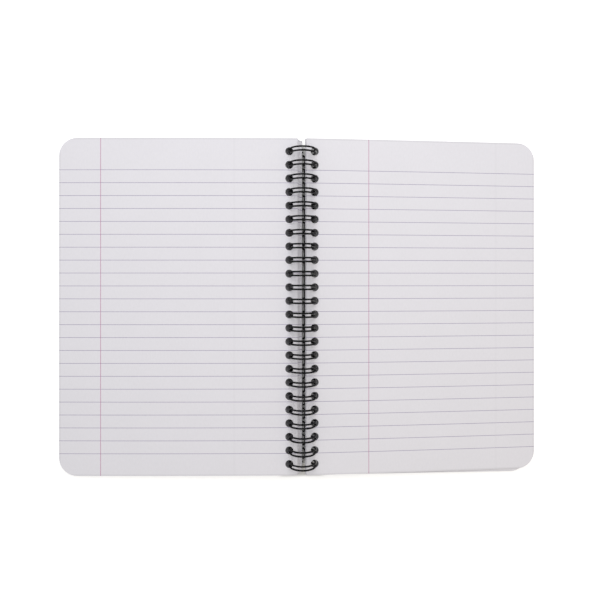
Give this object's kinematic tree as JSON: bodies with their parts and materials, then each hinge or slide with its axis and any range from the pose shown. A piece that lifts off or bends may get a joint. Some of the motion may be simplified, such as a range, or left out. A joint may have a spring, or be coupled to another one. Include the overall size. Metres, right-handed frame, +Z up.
{
  "type": "open twin-loop notebook",
  "caption": "Ruled notebook lying open, its sheets and covers turning on a closed twin-loop wire binding along the spine.",
  "frame": {"origin": "on the table, under the axis of the wire loops at mid height of the spine", "axes": "+X across the open pages towards the right page, +Y along the spine towards the head, +Z up from the table"},
  "size_m": [0.3016, 0.2119, 0.0185],
  "materials": {
    "wire": "satin black enamel over steel wire",
    "paper": "matte, ruled on both sides",
    "card": "matte grey card"
  },
  "bodies": {
    "wire": {"twin_loop_wire": "wire"},
    "front_cover": {"front_cover": "card"},
    "left_pages": {"left_pages": "paper"},
    "right_pages": {"right_pages": "paper"},
    "back_cover": {"back_cover": "card"}
  },
  "joints": [
    {"name": "front_cover_turn", "type": "hinge", "parent": "wire", "child": "front_cover", "pos_m": [0, 0, 0.01], "axis": [0, 1, 0], "range_deg": [0, 182]},
    {"name": "left_pages_turn", "type": "hinge", "parent": "front_cover", "child": "left_pages", "pos_m": [0, 0, 0.01], "axis": [0, 1, 0], "range_deg": [0, 177]},
    {"name": "back_cover_turn", "type": "hinge", "parent": "wire", "child": "back_cover", "pos_m": [0, 0, 0.01], "axis": [0, -1, 0], "range_deg": [0, 182]},
    {"name": "right_pages_turn", "type": "hinge", "parent": "back_cover", "child": "right_pages", "pos_m": [0, 0, 0.01], "axis": [0, -1, 0], "range_deg": [0, 177]}
  ]
}
